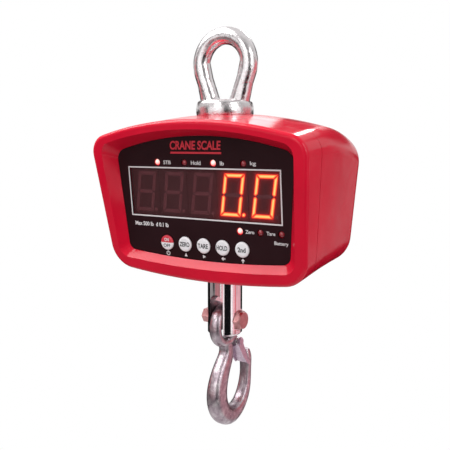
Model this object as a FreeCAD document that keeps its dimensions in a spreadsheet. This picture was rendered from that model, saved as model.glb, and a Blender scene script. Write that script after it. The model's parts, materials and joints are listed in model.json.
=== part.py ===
import FreeCAD, Part
import math
import os

# A hanging crane scale: lifting eye, two-part housing with a digital display, load cell,
# clevis rod and a swinging hook with a sprung safety latch.
# Row frame: the origin is the bearing point at the inner top of the lifting eye, +Z up,
# +X to the reader's right, -Y towards the reader. Millimetres.

Vector = FreeCAD.Vector
Placement = FreeCAD.Placement
Rotation = FreeCAD.Rotation
X_AXIS = Vector(1, 0, 0)
Y_AXIS = Vector(0, 1, 0)
Z_AXIS = Vector(0, 0, 1)

os.makedirs("parts", exist_ok=True)
doc = FreeCAD.newDocument("crane_scale")
sheet = doc.addObject("Spreadsheet::Sheet", "D")

DIMENSIONS = {
    # stations of the housing, counted from the window's centre
    "window_drop": 107.3,
    "panel_front": 32.6,
    "panel_tilt": 5.65,
    "rim_front": 42.3,
    "rim_tilt": 10.17,
    "seam_front": 23.5,
    "back_depth": 51.5,
    "wall": 3.0,
    "back_round": 12.0,
    "rim_round": 3.0,
    "gasket_thick": 0.5,
    "gasket_recess": 0.4,
    "gap": 0.3,
    # face plate, window and web
    "plate_thick": 0.8,
    "web_thick": 3.0,
    "window_width": 127.2,
    "window_height": 35.6,
    "window_margin": 2.0,
    "window_thick": 0.8,
    # seven-segment digits
    "digit_pitch": 25.3,
    "digit_width": 25.0,
    "digit_height": 37.0,
    "digit_depth": 10.1,
    "digit_setback": 1.9,
    # indicator lamps
    "lamp_radius": 2.4,
    "lamp_flange": 2.9,
    "lamp_length": 8.0,
    "lamp_hole": 2.6,
    "lamp_stand": 1.6,
    # keys
    "key_radius": 5.5,
    "key_pitch": 16.2,
    "key_drop": 37.8,
    "key_proud": 1.2,
    "key_flange": 6.4,
    "key_hole": 5.75,
    "key_stem": 2.0,
    "key_stem_length": 3.2,
    "switch_height": 4.0,
    "plunger_radius": 1.7,
    "switch_side": 6.0,
    # boards
    "board_thick": 1.6,
    "front_board_width": 134.0,
    "front_board_height": 72.0,
    "rear_board_width": 92.0,
    "rear_board_height": 26.0,
    "rear_board_rise": 18.0,
    # lifting eye
    "eye_wire": 6.5,
    "eye_top_radius": 20.3,
    "eye_foot_radius": 13.0,
    "eye_foot_drop": 34.5,
    "collar_radius": 21.3,
    "collar_top": 41.5,
    "leg_inset": 1.9,
    "collar_gap": 0.4,
    "collar_base": 53.2,
    "shank_radius": 10.0,
    "shank_end": 92.0,
    # load cell
    "cell_width": 58.0,
    "cell_height": 64.0,
    "cell_depth": 25.4,
    "cell_slot": 4.0,
    "cell_bore": 10.05,
    "cell_bore_depth": 17.0,
    "cell_slot_rise": 11.0,
    "cell_slot_stop": 13.0,
    "cell_eye_radius": 6.0,
    "cell_eye_x": 8.0,
    "cell_neck": 5.0,
    "lock_radius": 2.5,
    "lock_hole": 2.52,
    "lock_inset": 8.0,
    "tap_x": 20.0,
    "tap_rise": 25.0,
    "tap_radius": 1.5,
    # plate between the load cell and the housing
    "bracket_width": 114.0,
    "bracket_thick": 4.0,
    "bracket_height": 28.0,
    "bracket_rise": 8.0,
    # rod, pin and slot
    "rod_radius": 13.2,
    "rod_top": 144.0,
    "rod_end": 216.3,
    "rod_neck": 20.0,
    "rod_chamfer": 1.5,
    "slot_width": 11.2,
    "slot_top": 184.6,
    "pin_drop": 204.5,
    "pin_radius": 4.0,
    "pin_hole": 4.05,
    "pin_seat": 11.8,
    "pin_seat_radius": 8.4,
    "hex_flats": 13.0,
    "head_height": 5.3,
    "nut_flats": 10.0,
    "nut_height": 6.0,
    "thread_radius": 3.0,
    "pin_tail": 19.3,
    # hook and latch
    "hook_eye_outer": 17.5,
    "hook_eye_inner": 9.8,
    "hook_eye_half": 4.9,
    "hook_sag": 5.7,
    "latch_pin_radius": 1.8,
    "latch_y": 13.4,
    "latch_drop": 226.2,
    "latch_sheet": 1.1,
    "latch_half": 6.2,
    "latch_web": 2.6,
    # power
    "cell_radius": 9.25,
    "pack_length": 70.0,
    "pack_drop": 14.0,
    "pack_back": 36.0,
    "tray_width": 79.0,
    "tray_height": 45.0,
    "tray_depth": 22.0,
    "tray_front": 24.9,
    "tray_wall": 1.7,
    "cover_width": 94.0,
    "cover_height": 50.0,
    "cover_thick": 1.6,
    "jack_x": 62.0,
    "jack_drop": 18.0,
    "jack_radius": 5.5,
    "jack_bore": 2.75,
    "jack_length": 9.5,
    "plug_hinge": 11.6,
    # fasteners
    "screw_radius": 2.0,
    "screw_head": 3.8,
    "post_radius": 4.6,
    "hex_drive": 3.0,
    "thread_play": 0.02,
    "small_screw": 1.25,
    "small_play": 0.2,
    "small_head": 2.4,
    "small_head_height": 1.6,
}
for row, (alias, value) in enumerate(DIMENSIONS.items(), start=1):
    sheet.set(f"A{row}", alias.replace("_", " "))
    sheet.set(f"B{row}", str(value))
    sheet.setAlias(f"B{row}", alias)
doc.recompute()

finished = []


def size(alias):
    return float(sheet.get(alias))


PANEL = Placement(
    Vector(0, -size("panel_front"), -size("window_drop")),
    Rotation(X_AXIS, size("panel_tilt")),
)
ROW = Placement()
AXIS_TURN = {
    "Z": Rotation(),
    "Y": Rotation(X_AXIS, -90),
    "-Y": Rotation(X_AXIS, 90),
    "X": Rotation(Y_AXIS, 90),
    "-X": Rotation(Y_AXIS, -90),
}


# ---------------------------------------------------------------- helpers
def bind(obj, **expressions):
    """Binds properties to sheet expressions; plain numbers are set as they are."""
    for name, value in expressions.items():
        if isinstance(value, str):
            obj.setExpression(name, value)
        else:
            setattr(obj, name, value)
    return obj


def seat(obj, at, axis="Z"):
    """Places a primitive: each coordinate is a number or a sheet expression."""
    fixed = Vector(*[0 if isinstance(value, str) else value for value in at])
    obj.Placement = Placement(fixed, AXIS_TURN[axis])
    for name, value in zip("xyz", at):
        if isinstance(value, str):
            obj.setExpression(f"Placement.Base.{name}", value)
    return obj


def cylinder(radius, height, at=(0, 0, 0), axis="Z"):
    obj = doc.addObject("Part::Cylinder", "cylinder")
    return seat(bind(obj, Radius=radius, Height=height), at, axis)


def cone(radius_1, radius_2, height, at=(0, 0, 0), axis="Z"):
    obj = doc.addObject("Part::Cone", "cone")
    return seat(bind(obj, Radius1=radius_1, Radius2=radius_2, Height=height), at, axis)


def block(length, width, height, at):
    """A box whose corner of lowest x, y and z is at the given place."""
    obj = doc.addObject("Part::Box", "block")
    return seat(bind(obj, Length=length, Width=width, Height=height), at)


def prism(flats, height, at, axis):
    """A hexagonal bar with two of its flats level when it lies along X."""
    obj = doc.addObject("Part::Prism", "prism")
    bind(obj, Polygon=6, Circumradius=f"{flats} / sqrt(3)", Height=height)
    seat(obj, at, axis)
    obj.Placement = Placement(obj.Placement.Base, obj.Placement.Rotation * Rotation(Z_AXIS, 30))
    return obj


def fuse(*shapes):
    if len(shapes) == 1:
        return shapes[0]
    obj = doc.addObject("Part::MultiFuse", "fuse")
    obj.Shapes = list(shapes)
    obj.Refine = True
    return obj


def cut(base, *tools):
    obj = doc.addObject("Part::Cut", "cut")
    obj.Base = base
    obj.Tool = fuse(*tools)
    obj.Refine = True
    return obj


def solid(shape):
    """Holds a shape made with Part's own functions."""
    obj = doc.addObject("Part::Feature", "solid")
    obj.Shape = shape
    return obj


def piece(label, members, place=ROW):
    """Names a finished sub-part; several members are separate solids of one group."""
    members = members if isinstance(members, list) else [members]
    obj = doc.addObject("Part::Compound", label)
    obj.Links = members
    obj.Label = label
    obj.Placement = place
    finished.append(obj)
    return obj


# ---------------------------------------------------------------- housing outlines
class Section:
    """A housing cross-section: a crowned top and bottom, leaning sides and four corners."""

    def __init__(self, top, bottom, half_high, half_low, crown, sag, corner_high, corner_low):
        self.top = top
        self.bottom = bottom
        self.high = Vector(half_high, SIDE_HIGH, 0)
        self.low = Vector(half_low, SIDE_LOW, 0)
        self.crown = crown
        self.sag = sag
        self.corner_high = corner_high
        self.corner_low = corner_low

    def corner(self, centre, arc_radius, radius, side_point, along, outward, pick):
        """The corner arc tangent to a crowned edge and a side, as three points."""
        start = side_point - outward * radius
        reach = start - centre
        half_b = reach.dot(along)
        rest = reach.dot(reach) - (arc_radius - radius) ** 2
        middle = start + along * (-half_b + pick * math.sqrt(half_b * half_b - rest))
        to_arc = (middle - centre).normalize()
        on_side = middle + outward * radius
        on_arc = centre + to_arc * arc_radius
        between = middle + (to_arc + outward).normalize() * radius
        return on_arc, between, on_side

    def wire(self, place, inset=0.0):
        along = (self.high - self.low).normalize()
        outward = Vector(along.y, -along.x, 0)
        side = self.high - outward * inset
        top_radius = self.crown - inset
        low_radius = self.sag - inset
        top_centre = Vector(0, self.top - self.crown, 0)
        low_centre = Vector(0, self.bottom + self.sag, 0)
        high = self.corner(top_centre, top_radius, max(self.corner_high - inset, SMALLEST_CORNER),
                           side, along, outward, 1)
        low = self.corner(low_centre, low_radius, max(self.corner_low - inset, SMALLEST_CORNER),
                          side, along, outward, -1)

        def flip(point):
            return Vector(-point.x, point.y, 0)

        top_point = top_centre + Vector(0, top_radius, 0)
        low_point = low_centre - Vector(0, low_radius, 0)
        arcs = [
            (flip(high[0]), top_point, high[0]),
            high,
            (high[2], low[2]),
            (low[2], low[1], low[0]),
            (low[0], low_point, flip(low[0])),
            (flip(low[0]), flip(low[1]), flip(low[2])),
            (flip(low[2]), flip(high[2])),
            (flip(high[2]), flip(high[1]), flip(high[0])),
        ]
        edges = []
        for points in arcs:
            # the outline's own plane is x across and z up
            lifted = [place.multVec(Vector(p.x, 0, p.y)) for p in points]
            edge = Part.LineSegment(*lifted) if len(lifted) == 2 else Part.Arc(*lifted)
            edges.append(edge.toShape())
        return Part.Wire(edges)


# Heights at which a section's half widths are given, from the window's centre.
SIDE_HIGH = 23.0
SIDE_LOW = -38.0
SMALLEST_CORNER = 1.5
# Top, bottom, upper and lower half widths, crown and sag radii, upper and lower corner radii.
RIM = Section(52.6, -65.4, 88.9, 84.2, 300.0, 550.0, 14.5, 20.0)
RIM_INNER = Section(46.0, -55.2, 79.4, 76.0, 290.0, 700.0, 9.5, 10.0)
FACE = Section(41.4, -49.2, 74.2, 69.7, 250.0, 650.0, 9.0, 6.5)
SEAM = Section(54.9, -63.2, 89.2, 84.2, 305.0, 500.0, 15.5, 20.0)
WAIST = Section(57.5, -60.4, 89.4, 84.0, 295.0, 480.0, 18.0, 20.0)
BACK = Section(48.6, -57.0, 89.2, 83.6, 280.0, 480.0, 23.0, 22.0)
WAIST_Y = 3.0
# The housing's outline at the depth of the web, between the rim and the seam.
FRONT_ROOM = Section(53.4, -63.9, 88.6, 83.9, 305.0, 520.0, 15.0, 20.0)
MORE = 1.0  # how far a cutting tool runs past the face it cuts


def tilted(front, tilt):
    return Placement(Vector(0, -front, -size("window_drop")), Rotation(X_AXIS, tilt))


RIM_PLANE = tilted(size("rim_front"), size("rim_tilt"))
SEAM_PLANE = tilted(size("seam_front"), size("panel_tilt"))
WAIST_PLANE = tilted(-WAIST_Y, 0)
BACK_PLANE = tilted(-size("back_depth"), 0)


def shifted(place, forward):
    """The same plane moved forward along its own normal."""
    return place * Placement(Vector(0, -forward, 0), Rotation())


def loft(stations, inset=0.0, ruled=False):
    wires = [section.wire(place, inset) for section, place in stations]
    return Part.makeLoft(wires, True, ruled)


def plate(section, place, inset, back, front):
    """The section's outline as a flat plate between two depths behind its plane."""
    wire = section.wire(shifted(place, -back), inset)
    normal = place.Rotation.multVec(Vector(0, -1, 0))
    return Part.Face(wire).extrude(normal * (back - front))


# ---------------------------------------------------------------- places on the panel
DIGITS = [-2, -1, 0, 1, 2]
KEYS = {"key_power": -2, "key_zero": -1, "key_tare": 0, "key_hold": 1, "key_second": 2}
LAMPS = {
    "led_stable": (-37.0, 22.1),
    "led_hold": (-12.8, 22.1),
    "led_pound": (11.6, 22.1),
    "led_kilogram": (36.0, 22.1),
    "led_zero": (30.8, -24.9),
    "led_tare": (47.0, -24.9),
    "led_battery": (63.2, -24.9),
}
PANEL_DEPTH = size("plate_thick") + size("web_thick")


def panel_holes(window_growth, key_radius, lamp_radius, depth):
    """Tools for the window, the five keys and the lamps, cut straight through the panel."""
    width = f"D.window_width + {window_growth}"
    height = f"D.window_height + {window_growth}"
    tools = [block(width, depth * 2, height,
                   (f"-({width}) / 2", -depth, f"-({height}) / 2"))]
    for step in KEYS.values():
        tools.append(cylinder(key_radius, depth * 2,
                              (f"D.key_pitch * {step}", -depth, "-D.key_drop"), "Y"))
    for x, z in LAMPS.values():
        tools.append(cylinder(lamp_radius, depth * 2, (x, -depth, z), "Y"))
    return tools


# ---------------------------------------------------------------- front bezel
POSTS = [(-69.0, 28.0), (69.0, 28.0), (-64.0, -40.0), (64.0, -40.0)]
BOARD_SCREWS = [(-56.0, 23.0), (56.0, 23.0), (-56.0, -31.0), (56.0, -31.0)]
BOSS_RADIUS = 3.0
LIP_LEAD = 4.0
ROOT = 0.5  # how deep a post or boss starts inside the web
POST_START = -38.0
POST_BORE_START = -31.0
POST_LENGTH = 40.0
WEB_TOOL = 15.0
FIT = 0.4  # room round the pieces that sit in the web's openings


def post(x, z, radius, start, length):
    """A round bar along Y at a place given from the window's centre."""
    return Part.makeCylinder(radius, length, Vector(x, start, z - size("window_drop")), Y_AXIS)


def front_bezel():
    outer = loft([(RIM, RIM_PLANE), (SEAM, SEAM_PLANE)], ruled=True)
    rim_edges = [edge for edge in outer.Edges
                 if all(abs(RIM_PLANE.inverse().multVec(v.Point).y) < 0.01 for v in edge.Vertexes)]
    outer = outer.makeFillet(size("rim_round"), rim_edges)
    mouth = loft([(RIM_INNER, RIM_PLANE), (FACE, PANEL)], ruled=True)
    lip = RIM_INNER.wire(RIM_PLANE)
    lead = Part.Face(lip).extrude(RIM_PLANE.Rotation.multVec(Vector(0, -LIP_LEAD, 0)))
    seat_pocket = plate(FACE, PANEL, 0.0, size("plate_thick"), -MORE / 2)
    hollow = loft([(FRONT_ROOM, shifted(PANEL, -PANEL_DEPTH)), (SEAM, shifted(SEAM_PLANE, -MORE))],
                  inset=size("wall"), ruled=True)
    shell = outer.cut(mouth).cut(lead).cut(seat_pocket).cut(hollow)
    posts = []
    bores = []
    for x, z in POSTS:
        posts.append(post(x, z, size("post_radius"), POST_START, POST_LENGTH))
        bores.append(post(x, z, size("screw_radius"), POST_BORE_START, POST_LENGTH))
    joined = posts[0].multiFuse(posts[1:]).common(outer)
    behind = plate(FACE, PANEL, -2 * size("wall"), POST_LENGTH, PANEL_DEPTH - ROOT)
    shell = shell.fuse(joined.common(behind))
    for x, z in BOARD_SCREWS:
        start = Vector(x, PANEL_DEPTH - ROOT, z)
        length = size("digit_setback") + size("digit_depth") - start.y
        boss = Part.makeCylinder(BOSS_RADIUS, length, start, Y_AXIS)
        bore = Part.makeCylinder(size("small_screw"), length, start + Y_AXIS, Y_AXIS)
        boss.Placement = PANEL * boss.Placement
        bore.Placement = PANEL * bore.Placement
        shell = shell.fuse(boss).cut(bore)
    for bore in bores:
        shell = shell.cut(bore)
    web = solid(shell)
    web.Label = "bezel_blank"
    holes = panel_holes(f"2 * D.window_margin + {FIT}", f"D.key_flange + {FIT}",
                        f"D.lamp_flange + {FIT}", WEB_TOOL)
    tools = fuse(*holes)
    tools.Placement = PANEL
    piece("front_bezel", cut(web, tools))


front_bezel()


# ---------------------------------------------------------------- rear shell and gasket
SHANK_HOLE = 14.0
ROD_HOLE = 15.2
BRACKET_POSTS = [(-52.0, 14.0), (52.0, 14.0), (-52.0, 30.0), (52.0, 30.0)]
BRACKET_POST = 3.2
BRACKET_BACK = size("cell_depth") / 2 + 4.2
BOARD_POSTS = [(-40.0, 23.0), (40.0, 23.0), (-40.0, 39.0), (40.0, 39.0)]
BOARD_BACK = 37.0
COVER_SCREWS = [(-42.5, 18.0), (42.5, 18.0), (-42.5, -18.0), (42.5, -18.0)]
COVER_POSTS_START = 42.0
LONG = 60.0  # a bar long enough to reach through any wall; the housing trims it
TAP_DEPTH = 8.0
HEAD_SINK = 5.0
BATTERY_DOOR = (76.0, 42.0)


def rear_shell():
    wall = size("wall")
    depth = size("back_depth")
    front = shifted(SEAM_PLANE, -size("gasket_thick"))
    stations = [(SEAM, front), (WAIST, WAIST_PLANE), (BACK, BACK_PLANE)]
    outer = loft(stations)
    back_edges = [edge for edge in outer.Edges
                  if all(abs(v.Point.y - depth) < 0.01 for v in edge.Vertexes)]
    outer = outer.makeFillet(size("back_round"), back_edges)
    inner_back = tilted(-(depth - wall), 0)
    inner = loft([(SEAM, shifted(front, MORE)), (WAIST, WAIST_PLANE), (BACK, inner_back)], wall)
    inner_edges = [edge for edge in inner.Edges
                   if all(abs(v.Point.y - depth + wall) < 0.01 for v in edge.Vertexes)]
    inner = inner.makeFillet(size("back_round") - wall, inner_edges)
    shell = outer.cut(inner)
    bars = [post(x, z, size("post_radius"), -LONG / 2, 2 * LONG) for x, z in POSTS]
    bars += [post(x, z, BRACKET_POST, BRACKET_BACK, LONG) for x, z in BRACKET_POSTS]
    bars += [post(x, z, BOSS_RADIUS, BOARD_BACK, LONG) for x, z in BOARD_POSTS]
    bars += [post(x, z - size("pack_drop"), BOSS_RADIUS, COVER_POSTS_START, LONG)
             for x, z in COVER_SCREWS]
    boss_base = -size("collar_base") - size("collar_gap") - wall
    bars.append(Part.makeCylinder(size("collar_radius") + wall, LONG, Vector(0, 0, boss_base)))
    shell = shell.multiFuse([bar.common(outer) for bar in bars])
    gap = size("gap")
    small = size("small_screw")
    tap = TAP_DEPTH + MORE
    tools = [post(x, z, size("screw_radius") + gap, -LONG, 2 * LONG) for x, z in POSTS]
    tools += [post(x, z, size("screw_head") + gap, depth - HEAD_SINK, LONG) for x, z in POSTS]
    tools += [post(x, z, small, BRACKET_BACK - MORE, tap) for x, z in BRACKET_POSTS]
    tools += [post(x, z, small, BOARD_BACK - MORE, tap) for x, z in BOARD_POSTS]
    tools += [post(x, z - size("pack_drop"), small, COVER_POSTS_START + MORE, LONG)
              for x, z in COVER_SCREWS]
    return shell.cut(tools)


def rear_openings():
    """The lifting shank's hole, the rod's hole, the battery door and the charging jack."""
    wide, high = BATTERY_DOOR
    door_front = "D.back_depth - 2 * D.wall - D.cover_thick"
    return [
        cylinder(SHANK_HOLE, 40, (0, 0, -80)),
        cylinder("D.collar_radius + D.collar_gap", 10, (0, 0, "-D.collar_base - D.collar_gap")),
        cylinder(ROD_HOLE, 40, (0, 0, -190)),
        block("D.cover_width + 2 * D.gap", 10, "D.cover_height + 2 * D.gap",
              ("-D.cover_width / 2 - D.gap", "D.back_depth - D.cover_thick",
               "-D.window_drop - D.pack_drop - D.cover_height / 2 - D.gap")),
        block(wide, 20, high,
              (-wide / 2, door_front, f"-D.window_drop - D.pack_drop - {high / 2}")),
        cylinder("D.jack_radius + 0.1", 20,
                 ("D.jack_x", door_front, "-D.window_drop - D.jack_drop"), "Y"),
    ]


piece("rear_shell", cut(solid(rear_shell()), *rear_openings()))


def shell_gasket():
    thick = size("gasket_thick")
    ring = plate(SEAM, SEAM_PLANE, size("gasket_recess"), thick, 0.0)
    return ring.cut(plate(SEAM, SEAM_PLANE, size("wall"), thick + MORE, -MORE))


piece("shell_gasket", solid(shell_gasket()))


SCREW_TIP = -25.0


def housing_screws():
    """Four socket-head screws from the back through the rear posts into the bezel's posts."""
    screws = []
    for x, z in POSTS:
        height = f"{z} - D.window_drop"
        head = cylinder("D.screw_head", "D.screw_radius * 2",
                        (x, f"D.back_depth - {HEAD_SINK}", height), "Y")
        stem = cylinder("D.screw_radius - D.thread_play", f"D.back_depth - {HEAD_SINK + SCREW_TIP}",
                        (x, SCREW_TIP, height), "Y")
        drive = prism("D.hex_drive", "D.hex_drive", (x, "D.back_depth - D.hex_drive", height), "Y")
        screws.append(cut(fuse(stem, head), drive))
    piece("housing_screws", screws)


housing_screws()


# ---------------------------------------------------------------- face plate and window
def face_plate():
    thick = size("plate_thick")
    wire = FACE.wire(shifted(Placement(), -thick), 0.25)
    blank = solid(Part.Face(wire).extrude(Vector(0, -thick, 0)))
    piece("face_plate", cut(blank, *panel_holes("0", "D.key_hole", "D.lamp_hole", 5)), PANEL)


face_plate()

WINDOW_PANE = block("D.window_width + 2 * D.window_margin", "D.window_thick",
                    "D.window_height + 2 * D.window_margin",
                    ("-D.window_width / 2 - D.window_margin", "D.plate_thick",
                     "-D.window_height / 2 - D.window_margin"))
piece("display_window", WINDOW_PANE, PANEL)

for number, step in enumerate(DIGITS, start=1):
    module = block("D.digit_width", "D.digit_depth", "D.digit_height",
                   (f"D.digit_pitch * {step} - D.digit_width / 2",
                    "D.digit_setback", "-D.digit_height / 2"))
    piece(f"led_digit_{number}", module, PANEL)


# ---------------------------------------------------------------- front board, lamps and keys
BOARD_FRONT = "D.digit_setback + D.digit_depth"
FRONT_BOARD_LOW = -44.5


def front_board():
    base = block("D.front_board_width", "D.board_thick", "D.front_board_height",
                 ("-D.front_board_width / 2", BOARD_FRONT, FRONT_BOARD_LOW))
    holes = [cylinder("D.small_screw + D.small_play", 10, (x, 10, z), "Y") for x, z in BOARD_SCREWS]
    notches = []
    for x, z in POSTS:
        corner_x = x - 7.0 if x > 0 else x - 13.0
        corner_z = z - 7.0 if z > 0 else z - 13.0
        notches.append(block(20, 10, 20, (corner_x, 9, corner_z)))
    piece("display_board", cut(base, *holes, *notches), PANEL)
    screws = []
    for x, z in BOARD_SCREWS:
        head = cylinder("D.small_head", "D.small_head_height",
                        (x, f"{BOARD_FRONT} + D.board_thick", z), "Y")
        stem = cylinder("D.small_screw - D.thread_play", "D.board_thick + 6.4",
                        (x, f"{BOARD_FRONT} - 6", z), "Y")
        screws.append(fuse(stem, head))
    piece("display_board_screws", screws, PANEL)


front_board()


def lamp(label, x, z):
    """A round indicator lamp: domed lens, body and flange, standing on the board."""
    dome = doc.addObject("Part::Sphere", "dome")
    bind(dome, Radius="D.lamp_radius")
    seat(dome, (x, "D.lamp_radius - 0.3", z))
    body = cylinder("D.lamp_radius", "D.lamp_length - D.lamp_radius",
                    (x, "D.lamp_radius - 0.3", z), "Y")
    flange = cylinder("D.lamp_flange", 1.0, (x, "D.lamp_length - 1.3", z), "Y")
    stand = cylinder("D.lamp_stand", f"{BOARD_FRONT} - D.lamp_length + 0.3",
                     (x, "D.lamp_length - 0.3", z), "Y")
    piece(label, fuse(dome, body, flange, stand), PANEL)


for name, (lamp_x, lamp_z) in LAMPS.items():
    lamp(name, lamp_x, lamp_z)


def key(label, step):
    """A round push key: domed cap, retaining flange behind the plate, and a stem."""
    x = f"D.key_pitch * {step}"
    z = "-D.key_drop"
    crown = 0.5
    behind_plate = "D.plate_thick + D.gap"
    cap = cylinder("D.key_radius", f"D.key_proud - {crown} + D.plate_thick + 1",
                   (x, f"{crown} - D.key_proud", z), "Y")
    dome = cone("D.key_radius - 1", "D.key_radius", crown, (x, "-D.key_proud", z), "Y")
    flange = cylinder("D.key_flange", 1.0, (x, behind_plate, z), "Y")
    stem = cylinder("D.key_stem", "D.key_stem_length", (x, behind_plate, z), "Y")
    piece(label, fuse(cap, dome, flange, stem), PANEL)


for name, key_step in KEYS.items():
    key(name, key_step)


def key_switches():
    switches = []
    for step in KEYS.values():
        x = f"D.key_pitch * {step}"
        base = block("D.switch_side", "D.switch_height", "D.switch_side",
                     (f"{x} - D.switch_side / 2", f"{BOARD_FRONT} - D.switch_height",
                      "-D.key_drop - D.switch_side / 2"))
        plunger = cylinder("D.plunger_radius", 3.0,
                           (x, f"{BOARD_FRONT} - D.switch_height - 3", "-D.key_drop"), "Y")
        switches.append(fuse(base, plunger))
    piece("key_switches", switches, PANEL)


key_switches()


# ---------------------------------------------------------------- lifting eye
def bar(start, end, radius):
    """A round bar between two points."""
    return Part.makeCylinder(radius, (end - start).Length, start, end - start)


def bend(centre, start, radius, angle):
    """A round bar bent about the line along Y through the centre, from a place in the XZ plane."""
    outward = (start - centre).normalize()
    ring = Part.Circle(start, outward.cross(Y_AXIS), radius)
    return Part.Face(Part.Wire([ring.toShape()])).revolve(centre, Y_AXIS, angle)


def lifting_eye():
    """A pear-shaped forged eye on a barrelled collar with a threaded shank."""
    wire = size("eye_wire")
    big = size("eye_top_radius")
    small = size("eye_foot_radius")
    top = Vector(0, 0, wire - big)
    foot = Vector(0, 0, -size("eye_foot_drop"))
    lean = math.asin((big - small) / (top.z - foot.z))

    def at(centre, radius, angle):
        return centre + Vector(radius * math.cos(angle), 0, radius * math.sin(angle))

    right = (at(top, big, -lean), at(foot, small, -lean))
    left = tuple(Vector(-p.x, 0, p.z) for p in right)
    upper_turn = 180 + 2 * math.degrees(lean)
    loop = [
        bend(top, left[0], wire, upper_turn),
        bend(foot, right[1], wire, 360 - upper_turn),
        bar(left[1], left[0], wire),
        bar(right[0], right[1], wire),
    ]
    # the outer legs run from the loop's shoulders to the collar's edge
    shoulder_x = big - 0.4
    ankle_x = size("collar_radius") - wire - size("leg_inset")
    ankle_z = -size("collar_top") - 3.0
    for sign in (-1, 1):
        start = Vector(sign * shoulder_x, 0, top.z)
        end = Vector(sign * ankle_x, 0, ankle_z)
        loop.append(bar(start, end, wire - 0.15))
    radius = size("collar_radius")
    high = -size("collar_top")
    low = -size("collar_base")
    profile = Part.Wire([
        Part.LineSegment(Vector(0, 0, high + 1.2), Vector(radius - 5.0, 0, high + 1.2)).toShape(),
        Part.Arc(Vector(radius - 5.0, 0, high + 1.2), Vector(radius - 1.6, 0, high + 0.4),
                 Vector(radius - 0.6, 0, high - 1.2)).toShape(),
        Part.Arc(Vector(radius - 0.6, 0, high - 1.2), Vector(radius, 0, (high + low) / 2),
                 Vector(radius - 0.6, 0, low + 1.0)).toShape(),
        Part.LineSegment(Vector(radius - 0.6, 0, low + 1.0), Vector(radius - 1.6, 0, low)).toShape(),
        Part.LineSegment(Vector(radius - 1.6, 0, low), Vector(0, 0, low)).toShape(),
        Part.LineSegment(Vector(0, 0, low), Vector(0, 0, high + 1.2)).toShape(),
    ])
    collar = Part.Face(profile).revolve(Vector(), Z_AXIS, 360)
    below = Part.makeBox(80, 80, 40, Vector(-40, -40, low + 1.0 - 40))
    return loop[0].multiFuse(loop[1:]).cut(below).fuse(collar)


THROUGH = 30.0  # half the length of a tool that goes right through a piece
LOCK_HIGH = "-D.window_drop + D.cell_height / 2 - D.lock_inset"
LOCK_LOW = "-D.window_drop - D.cell_height / 2 + D.lock_inset"


def lock_bar(radius, height):
    """The hole for a pin that locks a shank in the load cell."""
    return cylinder(radius, 2 * THROUGH, (0, -THROUGH, height), "Y")


EYE_SHANK = cylinder("D.shank_radius", f"D.shank_end - D.collar_base + {MORE}",
                     (0, 0, "-D.shank_end"))
piece("lifting_eye", cut(fuse(solid(lifting_eye()), EYE_SHANK), lock_bar("D.lock_hole", LOCK_HIGH)))

SEAL_SLIP = 0.05
EYE_SEAL_THICK = 3.2
SEAL_BASE = f"-D.collar_base - {EYE_SEAL_THICK + SEAL_SLIP}"
SEAL_RING = cut(cylinder(SHANK_HOLE - SEAL_SLIP, EYE_SEAL_THICK, (0, 0, SEAL_BASE)),
                cylinder(f"D.shank_radius + {SEAL_SLIP}", 10, (0, 0, "-D.collar_base - 6")))
piece("eye_seal", SEAL_RING)


# ---------------------------------------------------------------- load cell
def load_cell():
    """An S-beam: two slots from opposite sides meet round holes in the middle."""
    low = "-D.window_drop - D.cell_height / 2"
    body = block("D.cell_width", "D.cell_depth", "D.cell_height",
                 ("-D.cell_width / 2", "-D.cell_depth / 2", low))
    tools = []
    for sign in (-1, 1):
        height = f"-D.window_drop + {sign} * D.cell_slot_rise - D.cell_slot / 2"
        edge = f"-{MORE}" if sign > 0 else "D.cell_slot_stop"
        tools.append(block(f"D.cell_width - D.cell_slot_stop + {MORE}", 2 * THROUGH, "D.cell_slot",
                           (f"-D.cell_width / 2 + ({edge})", -THROUGH, height)))
    for sign in (-1, 1):
        tools.append(cylinder("D.cell_eye_radius", 2 * THROUGH,
                              (f"{sign} * D.cell_eye_x", -THROUGH, "-D.window_drop"), "Y"))
    tools.append(block("2 * D.cell_eye_x", 2 * THROUGH, "D.cell_neck",
                       ("-D.cell_eye_x", -THROUGH, "-D.window_drop - D.cell_neck / 2")))
    depth = f"D.cell_bore_depth + {MORE}"
    top = "-D.window_drop + D.cell_height / 2 - D.cell_bore_depth"
    top_bore = cylinder("D.cell_bore", depth, (0, 0, top))
    low_bore = cylinder("D.cell_bore", depth, (0, 0, f"{low} - {MORE}"))
    pins = [lock_bar("D.lock_hole", height) for height in (LOCK_HIGH, LOCK_LOW)]
    taps = [cylinder("D.tap_radius", 2 * THROUGH,
                     (f"{sign} * D.tap_x", "D.cell_depth / 4", "-D.window_drop + D.tap_rise"), "Y")
            for sign in (-1, 1)]
    piece("load_cell", cut(body, *tools, top_bore, low_bore, *pins, *taps))
    locks = [cylinder("D.lock_radius", "D.cell_depth", (0, "-D.cell_depth / 2", height), "Y")
             for height in (LOCK_HIGH, LOCK_LOW)]
    piece("shank_lock_pins", locks)


load_cell()


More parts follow.
